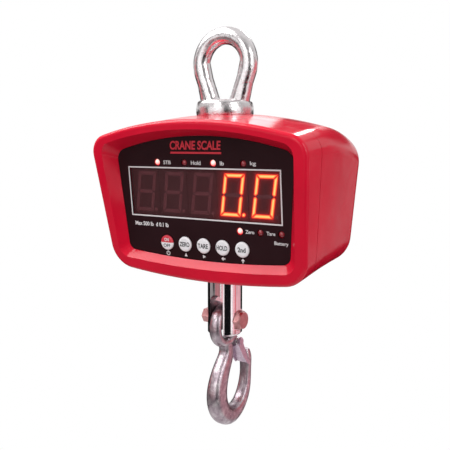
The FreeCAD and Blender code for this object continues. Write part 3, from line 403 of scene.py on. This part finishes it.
for look_name, nodes in NODE_LOOKS.items():
    for node in nodes:
        mesh = frame["nodes"][node].data
        mesh.materials.clear()
        mesh.materials.append(MATERIALS[look_name])
bare = [node for node in frame["nodes"] if not any(node in group for group in NODE_LOOKS.values())]
if bare:
    raise SystemExit(f"no material for {bare}")


# ---------------------------------------------------------------- mesh helpers
def piece(name, points, faces, look, body=HOUSING):
    """A mesh piece from points in the panel's own axes, riding on a body."""
    mesh = bpy.data.meshes.new(name)
    mesh.from_pydata([PANEL @ Vector(p) for p in points], [], faces)
    mesh.validate()
    mesh.update()
    mesh.polygons.foreach_set("use_smooth", [False] * len(mesh.polygons))
    mesh.materials.append(MATERIALS[look])
    made = bpy.data.objects.new(name, mesh)
    bpy.context.scene.collection.objects.link(made)
    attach(made, body)
    return made


def set_glow(made, values):
    attribute = made.data.attributes.new("glow", "FLOAT", "POINT")
    attribute.data.foreach_set("value", np.asarray(values, np.float32))


def grown(outline, distance):
    """The outline of a convex shape, listed clockwise, moved outwards by a distance."""
    count = len(outline)
    moved = []
    for i in range(count):
        before = Vector(outline[i]) - Vector(outline[i - 1])
        after = Vector(outline[(i + 1) % count]) - Vector(outline[i])
        normals = [Vector((-edge.y, edge.x)).normalized() for edge in (before, after)]
        bisector = (normals[0] + normals[1]).normalized()
        moved.append(Vector(outline[i]) + bisector * distance / max(0.4, bisector.dot(normals[0])))
    return [tuple(p) for p in moved]


def raised_shape(name, rings, look):
    """A closed plate from stacked rings of (outline, y), back to front, with flat ends."""
    count = len(rings[0][0])
    points = [(x, y, z) for outline, y in rings for x, z in outline]
    faces = [tuple(range(count)), tuple(reversed(range(len(points) - count, len(points))))]
    for level in range(len(rings) - 1):
        start = level * count
        for i in range(count):
            j = (i + 1) % count
            faces.append((start + j, start + i, start + count + i, start + count + j))
    return piece(name, points, faces, look)


def circle(radius, centre, count, start=90.0, sweep=360.0):
    """Points clockwise round a circle or an arc, in the panel's x and z."""
    full = abs(sweep) >= 360.0
    steps = count if full else count + 1
    points = []
    for step in range(steps):
        angle = math.radians(start - sweep * step / count)
        points.append((centre[0] + radius * math.cos(angle), centre[1] + radius * math.sin(angle)))
    return points


def shifted(outline, x, z):
    return [(px + x, pz + z) for px, pz in outline]


# ---------------------------------------------------------------- lettering
INK_HEIGHT = 0.05 * MM


def lettering(name, text, x, z, width, height, weight, look="white_ink",
              body=HOUSING, face=0.0, lean=0.0):
    """Printed plain letters of a given width and height, centred at a place on the panel."""
    curve = bpy.data.curves.new(name, "FONT")
    curve.body = text
    curve.align_x = "CENTER"
    curve.align_y = "CENTER"
    curve.offset = weight
    curve.shear = lean
    curve.resolution_u = 6
    curve.extrude = 0.5
    temporary = bpy.data.objects.new(name, curve)
    bpy.context.scene.collection.objects.link(temporary)
    bpy.context.view_layer.update()
    mesh = bpy.data.meshes.new_from_object(
        temporary.evaluated_get(bpy.context.evaluated_depsgraph_get()))
    bpy.data.objects.remove(temporary)
    bpy.data.curves.remove(curve)
    points = np.array([v.co for v in mesh.vertices])
    low, high = points.min(0), points.max(0)
    points = (points - (low + high) / 2) / (high - low)
    faces = [tuple(polygon.vertices) for polygon in mesh.polygons]
    bpy.data.meshes.remove(mesh)
    placed = [(x + p[0] * width, face - (p[2] + 0.5) * INK_HEIGHT, z + p[1] * height)
              for p in points]
    return piece(name, placed, faces, look, body)


# ---------------------------------------------------------------- window border
pane_low, pane_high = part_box("display_window")
PANE_MARGIN = 2.0 * MM
BORDER_LINE = 1.0 * MM
BORDER_HEIGHT = 0.1 * MM
WINDOW_HALF_WIDTH = (pane_high.x - pane_low.x) / 2 - PANE_MARGIN
WINDOW_HALF_HEIGHT = 17.8 * MM


def window_border():
    """The printed white line round the window, slightly proud of the overlay."""
    def rectangle(grow):
        x = WINDOW_HALF_WIDTH + grow
        z = WINDOW_HALF_HEIGHT + grow
        return [(-x, z), (x, z), (x, -z), (-x, -z)]

    inner = 0.02 * MM
    outer = inner + BORDER_LINE
    bevel = 0.12 * MM
    levels = [(rectangle(outer), 0.0), (rectangle(outer - bevel), -BORDER_HEIGHT),
              (rectangle(inner + bevel), -BORDER_HEIGHT), (rectangle(inner), 0.0)]
    points = [(x, y, z) for outline, y in levels for x, z in outline]
    faces = []
    for level in range(4):
        for i in range(4):
            a = level * 4 + i
            b = level * 4 + (i + 1) % 4
            c = (level + 1) % 4 * 4 + (i + 1) % 4
            d = (level + 1) % 4 * 4 + i
            faces.append((b, a, d, c))
    piece("window_border", points, faces, "white_ink")


window_border()

# ---------------------------------------------------------------- seven-segment digits
DIGIT_HALF_WIDTH = 8.35 * MM
DIGIT_HALF_HEIGHT = 15.15 * MM
SEGMENT = 2.75 * MM
SEGMENT_GAP = 0.32 * MM
DIGIT_SLANT = math.tan(math.radians(9.5))
DIGIT_FRONT = 1.9 * MM
POINT_CENTRE = (10.6 * MM, -13.5 * MM)
POINT_RADIUS = 1.45 * MM
FACE_HALF_HEIGHT = 18.3 * MM
FACE_COLUMNS = 48
FACE_ROWS = 68
# How strong the light is on the dark skin beside a lit segment, and how far it reaches.
NEAR_GLOW = (0.62, 0.9 * MM)
FAR_GLOW = (0.3, 3.2 * MM)
ZERO = "abcdef"
SHOWN = {4: ZERO + "p", 5: ZERO}


def segment_outlines():
    """The eight light shapes of a digit, upright, clockwise, from its centre."""
    w, h, t, g = DIGIT_HALF_WIDTH, DIGIT_HALF_HEIGHT, SEGMENT, SEGMENT_GAP
    top = [(-w + g, h), (w - g, h), (w - t - g, h - t), (-w + t + g, h - t)]
    side = [(w, h - g), (w, g + 0.3 * t), (w - t / 2, g), (w - t, g + t / 2), (w - t, h - t - g)]
    inner = w - t - g
    tip = w - t / 2 - g
    bar = [(-inner, t / 2), (inner, t / 2), (tip, 0), (inner, -t / 2), (-inner, -t / 2), (-tip, 0)]

    def flipped(outline, x_sign, z_sign):
        moved = [(x * x_sign, z * z_sign) for x, z in outline]
        return moved if x_sign * z_sign > 0 else moved[::-1]

    return {"a": top, "b": side, "c": flipped(side, 1, -1), "d": flipped(top, 1, -1),
            "e": flipped(side, -1, -1), "f": flipped(side, -1, 1), "g": bar,
            "p": circle(POINT_RADIUS, POINT_CENTRE, 24)}


def slanted(outline, x):
    return [(px + pz * DIGIT_SLANT + x, pz) for px, pz in outline]


def distance_to(outline, grid_x, grid_z):
    """How far each point is from a convex outline; 0 inside it."""
    nearest = np.full(grid_x.shape, 1e9)
    inside = np.ones(grid_x.shape, bool)
    for i in range(len(outline)):
        ax, az = outline[i]
        bx, bz = outline[(i + 1) % len(outline)]
        ex, ez = bx - ax, bz - az
        px, pz = grid_x - ax, grid_z - az
        along = np.clip((px * ex + pz * ez) / (ex * ex + ez * ez), 0, 1)
        nearest = np.minimum(nearest, np.hypot(px - along * ex, pz - along * ez))
        inside &= (ex * pz - ez * px) <= 0
    return np.where(inside, 0.0, nearest)


OUTLINES = segment_outlines()
lit_outlines = []
for number, letters in SHOWN.items():
    digit_x = spot(f"led_digit_{number}")[0]
    lit_outlines += [slanted(OUTLINES[letter], digit_x) for letter in letters]


def digit_face(number):
    """A digit's dark front skin, which picks up the light round the lit segments."""
    low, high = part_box(f"led_digit_{number}")
    x_centre, z_centre = spot(f"led_digit_{number}")
    half_width = (high.x - low.x) / 2 - 0.1 * MM
    columns, rows = FACE_COLUMNS, FACE_ROWS
    grid_x, grid_z = np.meshgrid(
        np.linspace(x_centre - half_width, x_centre + half_width, columns),
        np.linspace(z_centre - FACE_HALF_HEIGHT, z_centre + FACE_HALF_HEIGHT, rows))
    glow = np.zeros(grid_x.shape)
    for outline in lit_outlines:
        away = distance_to(outline, grid_x, grid_z)
        shine = sum(strength * np.exp(-away / reach) for strength, reach in (NEAR_GLOW, FAR_GLOW))
        glow = np.maximum(glow, shine)
    y = DIGIT_FRONT - 0.02 * MM
    points = [(x, y, z) for x, z in zip(grid_x.ravel(), grid_z.ravel())]
    faces = []
    for row in range(rows - 1):
        for column in range(columns - 1):
            a = row * columns + column
            faces.append((a, a + 1, a + columns + 1, a + columns))
    made = piece(f"digit_face_{number}", points, faces, "digit_face")
    set_glow(made, glow.ravel())


def digit_segments(number):
    """Raised light bars: a glowing core inside a dimmer edge."""
    x = spot(f"led_digit_{number}")[0]
    for letter, outline in OUTLINES.items():
        lit = letter in SHOWN.get(number, "")
        base = slanted(outline, x)
        levels = [(base, DIGIT_FRONT - 0.03 * MM), (grown(base, -0.4 * MM), DIGIT_FRONT - 0.1 * MM),
                  (grown(base, -1.0 * MM), DIGIT_FRONT - 0.13 * MM)]
        made = raised_shape(f"digit_{number}_segment_{letter}", levels,
                            "bright_segment" if lit else "dark_segment")
        count = len(base)
        set_glow(made, [0.0] * count + [0.4] * count + [1.0] * count)


for number in range(1, 6):
    digit_face(number)
    digit_segments(number)

# ---------------------------------------------------------------- labels on the overlay
LABEL_WEIGHT = 0.016
# Text, distance right of the lamp, width and height, in millimetres.
LAMP_LABELS = {
    "led_stable": ("STB", 9.2, 6.6, 2.7),
    "led_hold": ("Hold", 10.2, 8.2, 2.9),
    "led_pound": ("lb", 7.6, 3.2, 2.9),
    "led_kilogram": ("kg", 7.8, 4.6, 3.4),
    "led_zero": ("Zero", 8.2, 6.9, 2.6),
    "led_tare": ("Tare", 8.3, 6.6, 2.6),
}
for node, (text, offset, width, height) in LAMP_LABELS.items():
    lamp_x, lamp_z = spot(node)
    lettering(f"label_{node}", text, lamp_x + offset * MM, lamp_z, width * MM, height * MM,
              weight=LABEL_WEIGHT)
battery_x, battery_z = spot("led_battery")
lettering("label_battery", "Battery", battery_x - 0.2 * MM, battery_z - 6.6 * MM, 10.6 * MM,
          3.2 * MM, weight=LABEL_WEIGHT)
lettering("label_capacity", "Max 500 lb  d 0.1 lb", -46.2 * MM, -24.6 * MM, 31.5 * MM, 3.2 * MM,
          weight=0.03)
lettering("title", "CRANE SCALE", -2.6 * MM, 34.6 * MM, 43.4 * MM, 6.4 * MM, look="red_ink",
          weight=0.03, lean=0.12)
TITLE_RULE = [(-24.0 * MM, 30.0 * MM), (19.2 * MM, 30.0 * MM), (19.0 * MM, 28.6 * MM),
              (-24.2 * MM, 28.6 * MM)]
raised_shape("title_rule", [(TITLE_RULE, 0.0), (TITLE_RULE, -INK_HEIGHT)], "red_ink")


# ---------------------------------------------------------------- keys
KEY_FRONT = -1.2 * MM
LEGEND_HEIGHT = 3.5 * MM
POWER_LEGEND_HEIGHT = 2.6 * MM
# Text and width in millimetres.
KEY_LEGENDS = {
    "zero": ("ZERO", 8.8),
    "tare": ("TARE", 8.8),
    "hold": ("HOLD", 9.0),
    "second": ("2nd", 6.4),
}
for key, (text, width) in KEY_LEGENDS.items():
    x, z = spot(f"key_{key}")
    lettering(f"legend_{key}", text, x, z, width * MM, LEGEND_HEIGHT, look="dark_ink",
              body=f"{key}_key", face=KEY_FRONT, weight=0.026)
power_x, power_z = spot("key_power")
for text, offset, width, ink in (("ON", 2.4, 4.2, "white_ink"), ("OFF", -2.1, 6.2, "dark_ink")):
    lettering(f"legend_power_{text.lower()}", text, power_x, power_z + offset * MM, width * MM,
              POWER_LEGEND_HEIGHT, look=ink, body="power_key", face=KEY_FRONT,
              weight=0.022)

ICON_DROP = 8.1 * MM


def icon(name, key, outline):
    """A small printed sign under a key."""
    x, z = spot(f"key_{key}")
    placed = shifted(outline, x, z - ICON_DROP)
    raised_shape(name, [(placed, 0.0), (placed, -INK_HEIGHT)], "white_ink")


def turned_shape(outline, quarter_turns):
    points = outline
    for _ in range(quarter_turns):
        points = [(z, -x) for x, z in points]
    return points


def in_millimetres(outline):
    return [(x * MM, z * MM) for x, z in outline]


TRIANGLE = in_millimetres([(-1.3, -1.2), (0.0, 1.4), (1.3, -1.2)])
ARROW = in_millimetres([(-0.45, -1.7), (-0.45, -0.1), (-1.6, -0.1), (0.0, 1.7), (1.6, -0.1),
                        (0.45, -0.1), (0.45, -1.7)])
icon("icon_up", "zero", TRIANGLE)
icon("icon_right", "tare", turned_shape(TRIANGLE, 1))
icon("icon_back", "hold", turned_shape(ARROW, 3))
icon("icon_raise", "second", ARROW)


def power_icon():
    """A broken ring with a short bar in its gap."""
    x, z = spot("key_power")
    centre = (x, z - ICON_DROP)
    outer = circle(1.75 * MM, centre, 28, start=60, sweep=300)
    inner = circle(1.15 * MM, centre, 28, start=60, sweep=300)
    count = len(outer)
    points = [(px, y, pz) for y in (0.0, -INK_HEIGHT) for ring in (outer, inner) for px, pz in ring]
    faces = []
    for i in range(count - 1):
        back_outer, back_inner = i, count + i
        front_outer, front_inner = 2 * count + i, 3 * count + i
        faces += [(front_outer, front_outer + 1, front_inner + 1, front_inner),
                  (back_outer + 1, back_outer, back_inner, back_inner + 1),
                  (back_outer, back_outer + 1, front_outer + 1, front_outer),
                  (back_inner + 1, back_inner, front_inner, front_inner + 1)]
    for i in (0, count - 1):
        faces.append((i, 2 * count + i, 3 * count + i, count + i))
    piece("icon_power_ring", points, faces, "white_ink")
    bar = shifted(in_millimetres([(-0.3, 0.3), (-0.3, 2.0), (0.3, 2.0), (0.3, 0.3)]), *centre)
    raised_shape("icon_power_bar", [(bar, 0.0), (bar, -INK_HEIGHT)], "white_ink")


power_icon()


# ---------------------------------------------------------------- camera, stage and light
CAMERA_PLACE = Vector((260.1, -416.2, -71.2)) * MM
CAMERA_AZIMUTH = math.radians(32.0)
CAMERA_PITCH = math.radians(-7.155)
CAMERA_LENS = 52.32
SENSOR_WIDTH = 36.0
ORBIT_CENTRE = Vector((0, 0, -0.13))
LOOK = Vector((-math.sin(CAMERA_AZIMUTH) * math.cos(CAMERA_PITCH),
               math.cos(CAMERA_AZIMUTH) * math.cos(CAMERA_PITCH), math.sin(CAMERA_PITCH)))


def add_camera():
    data = bpy.data.cameras.new("camera")
    data.lens = CAMERA_LENS
    data.sensor_width = SENSOR_WIDTH
    data.clip_start = 0.01
    data.clip_end = 50.0
    made = bpy.data.objects.new("camera", data)
    made.location = CAMERA_PLACE
    made.rotation_euler = LOOK.to_track_quat("-Z", "Y").to_euler()
    bpy.context.scene.collection.objects.link(made)
    bpy.context.scene.camera = made


def from_camera(turn, rise, distance):
    """A point round the object: degrees to the right of the camera's side, height and distance."""
    angle = CAMERA_AZIMUTH + math.radians(turn)
    outwards = Vector((math.sin(angle), -math.cos(angle), 0))
    return ORBIT_CENTRE + outwards * distance + Vector((0, 0, rise))


def softbox(name, place, width, height, power):
    """A rectangular light aimed at the object, unseen by the camera."""
    data = bpy.data.lights.new(name, "AREA")
    data.shape = "RECTANGLE"
    data.size = width
    data.size_y = height
    data.energy = power
    made = bpy.data.objects.new(name, data)
    made.location = place
    made.rotation_euler = (LIGHT_AIM - place).to_track_quat("-Z", "Y").to_euler()
    made.visible_camera = False
    bpy.context.scene.collection.objects.link(made)


def screen(name, start, end, low, high, colour, strength):
    """A curved studio screen, seen only in reflections."""
    material = bpy.data.materials.new(name)
    material.use_nodes = True
    shader = material.node_tree.nodes["Principled BSDF"]
    shader.inputs["Base Color"].default_value = (*colour, 1)
    shader.inputs["Roughness"].default_value = 0.9
    shader.inputs["Specular IOR Level"].default_value = 0.0
    shader.inputs["Emission Color"].default_value = (*colour, 1)
    shader.inputs["Emission Strength"].default_value = strength
    points = []
    for step in range(SCREEN_STEPS + 1):
        turn = math.radians(start + (end - start) * step / SCREEN_STEPS) + CAMERA_AZIMUTH
        x, y = SCREEN_RADIUS * math.sin(turn), -SCREEN_RADIUS * math.cos(turn)
        points += [(x, y, low), (x, y, high)]
    mesh = bpy.data.meshes.new(name)
    strips = [(2 * i, 2 * i + 2, 2 * i + 3, 2 * i + 1) for i in range(SCREEN_STEPS)]
    mesh.from_pydata(points, [], strips)
    mesh.materials.append(material)
    made = bpy.data.objects.new(name, mesh)
    for kind in ("camera", "diffuse", "shadow", "transmission"):
        setattr(made, f"visible_{kind}", False)
    bpy.context.scene.collection.objects.link(made)


def studio_world():
    """A white backdrop for the camera; for the light, darker in front and below than behind."""
    world = bpy.data.worlds.new("studio")
    world.use_nodes = True
    tree = world.node_tree
    surround = tree.nodes["Background"]
    backdrop = tree.nodes.new("ShaderNodeBackground")
    backdrop.inputs["Color"].default_value = (1, 1, 1, 1)
    direction = tree.nodes.new("ShaderNodeTexCoord").outputs["Generated"]
    towards = tree.nodes.new("ShaderNodeVectorMath")
    towards.operation = "DOT_PRODUCT"
    towards.inputs[1].default_value = BRIGHT_SIDE
    tree.links.new(direction, towards.inputs[0])
    level = tree.nodes.new("ShaderNodeMapRange")
    level.interpolation_type = "SMOOTHSTEP"
    for name, value in zip(("From Min", "From Max", "To Min", "To Max"), WORLD_LEVELS):
        level.inputs[name].default_value = value
    tree.links.new(towards.outputs["Value"], level.inputs["Value"])
    tree.links.new(level.outputs["Result"], surround.inputs["Strength"])
    surround.inputs["Color"].default_value = (1, 1, 1, 1)
    chosen = tree.nodes.new("ShaderNodeMixShader")
    tree.links.new(tree.nodes.new("ShaderNodeLightPath").outputs["Is Camera Ray"],
                   chosen.inputs["Fac"])
    tree.links.new(surround.outputs["Background"], chosen.inputs[1])
    tree.links.new(backdrop.outputs["Background"], chosen.inputs[2])
    tree.links.new(chosen.outputs["Shader"], tree.nodes["World Output"].inputs["Surface"])
    bpy.context.scene.world = world


BRIGHT_SIDE = Vector((-0.3, 0.6, 0.75)).normalized()
# Towards the bright side from and to, and the light there from and to.
WORLD_LEVELS = (-0.4, 0.8, 0.25, 0.85)
SCREEN_RADIUS = 0.95
SCREEN_STEPS = 8
BLACK = (0.006, 0.006, 0.007)
GREY = (0.07, 0.06, 0.06)
WHITE = (0.8, 0.8, 0.8)
WARM = (0.55, 0.14, 0.16)
ROSE = (0.8, 0.48, 0.52)
MAROON = (0.32, 0.15, 0.16)
# Name, first and last degrees to the right of the camera's side, lowest and highest place,
# colour and light of its own.
SCREENS = [
    ("black_rear_left", -178, -116, -0.9, -0.01, BLACK, 0.0),
    ("warm_left", -112, -88, -0.35, 0.1, WARM, 0.45),
    ("black_left", -86, -74, -0.4, 0.1, BLACK, 0.0),
    ("maroon_left_low", -68, -34, -0.5, -0.22, MAROON, 0.5),
    ("pale_left_low", -30, -24, -0.5, -0.22, WHITE, 0.4),
    ("rose_left_low", -23, -12, -0.5, -0.22, ROSE, 0.16),
    ("white_left_low", -11, -5, -0.5, -0.22, WHITE, 0.34),
    ("white_left_high", -68, -8, -0.2, 0.2, WHITE, 0.4),
    ("black_front", -4, 37, -0.6, 0.0, BLACK, 0.0),
    ("white_right_low", 40, 52, -0.5, -0.22, WHITE, 0.62),
    ("rose_right_low", 54, 66, -0.5, -0.22, ROSE, 0.42),
    ("red_right_low", 68, 76, -0.5, -0.22, WARM, 0.9),
    ("white_right_high", 41, 66, -0.2, 0.2, WHITE, 0.42),
    ("warm_right", 76, 122, -0.35, 0.1, WARM, 0.5),
    ("rose_right_floor", 78, 126, -0.92, -0.36, ROSE, 0.14),
    ("black_rear_right", 128, 176, -0.9, -0.01, BLACK, 0.0),
    ("grey_rear_left", -171, -128, 0.1, 0.5, GREY, 0.0),
    ("grey_rear_right", 128, 171, 0.1, 0.5, GREY, 0.0),
]
LIGHT_AIM = Vector((0, 0, -0.12))
# Name, place, width, height and power.
SOFTBOXES = [
    ("overhead", Vector((-0.42, -0.22, 0.5)), 0.66, 0.5, 6.3),
    ("key_right", from_camera(38, 0.42, 1.1), 0.45, 0.8, 4.8),
    ("key_left", from_camera(-30, 0.45, 1.2), 0.4, 0.7, 4.0),
    ("corner_light", from_camera(158, 0.78, 1.1), 0.12, 0.3, 4.4),
    ("ridge_light", from_camera(178, 0.5, 1.1), 0.5, 0.2, 0.5),
]
FLOOR_DROP = 0.95
FLOOR_REACH = 1.3
FLOOR_SIDES = 64


def add_stage():
    """The floor, the backdrop, the lights and the reflected screens."""
    floor_z = CAD_BOX[0].z - FLOOR_DROP
    turns = [math.tau * i / FLOOR_SIDES for i in range(FLOOR_SIDES)]
    outline = [(FLOOR_REACH * math.cos(turn), FLOOR_REACH * math.sin(turn), floor_z)
               for turn in turns]
    mesh = bpy.data.meshes.new("floor")
    mesh.from_pydata(outline, [], [tuple(range(FLOOR_SIDES))])
    paint = Look("floor_paint", (0.8, 0.8, 0.8), roughness=0.9)
    mesh.materials.append(paint.material)
    floor = bpy.data.objects.new("floor", mesh)
    bpy.context.scene.collection.objects.link(floor)
    studio_world()
    for light in SOFTBOXES:
        softbox(*light)
    for panel in SCREENS:
        screen(*panel)


add_camera()
add_stage()
bpy.context.scene.view_settings.view_transform = "Standard"
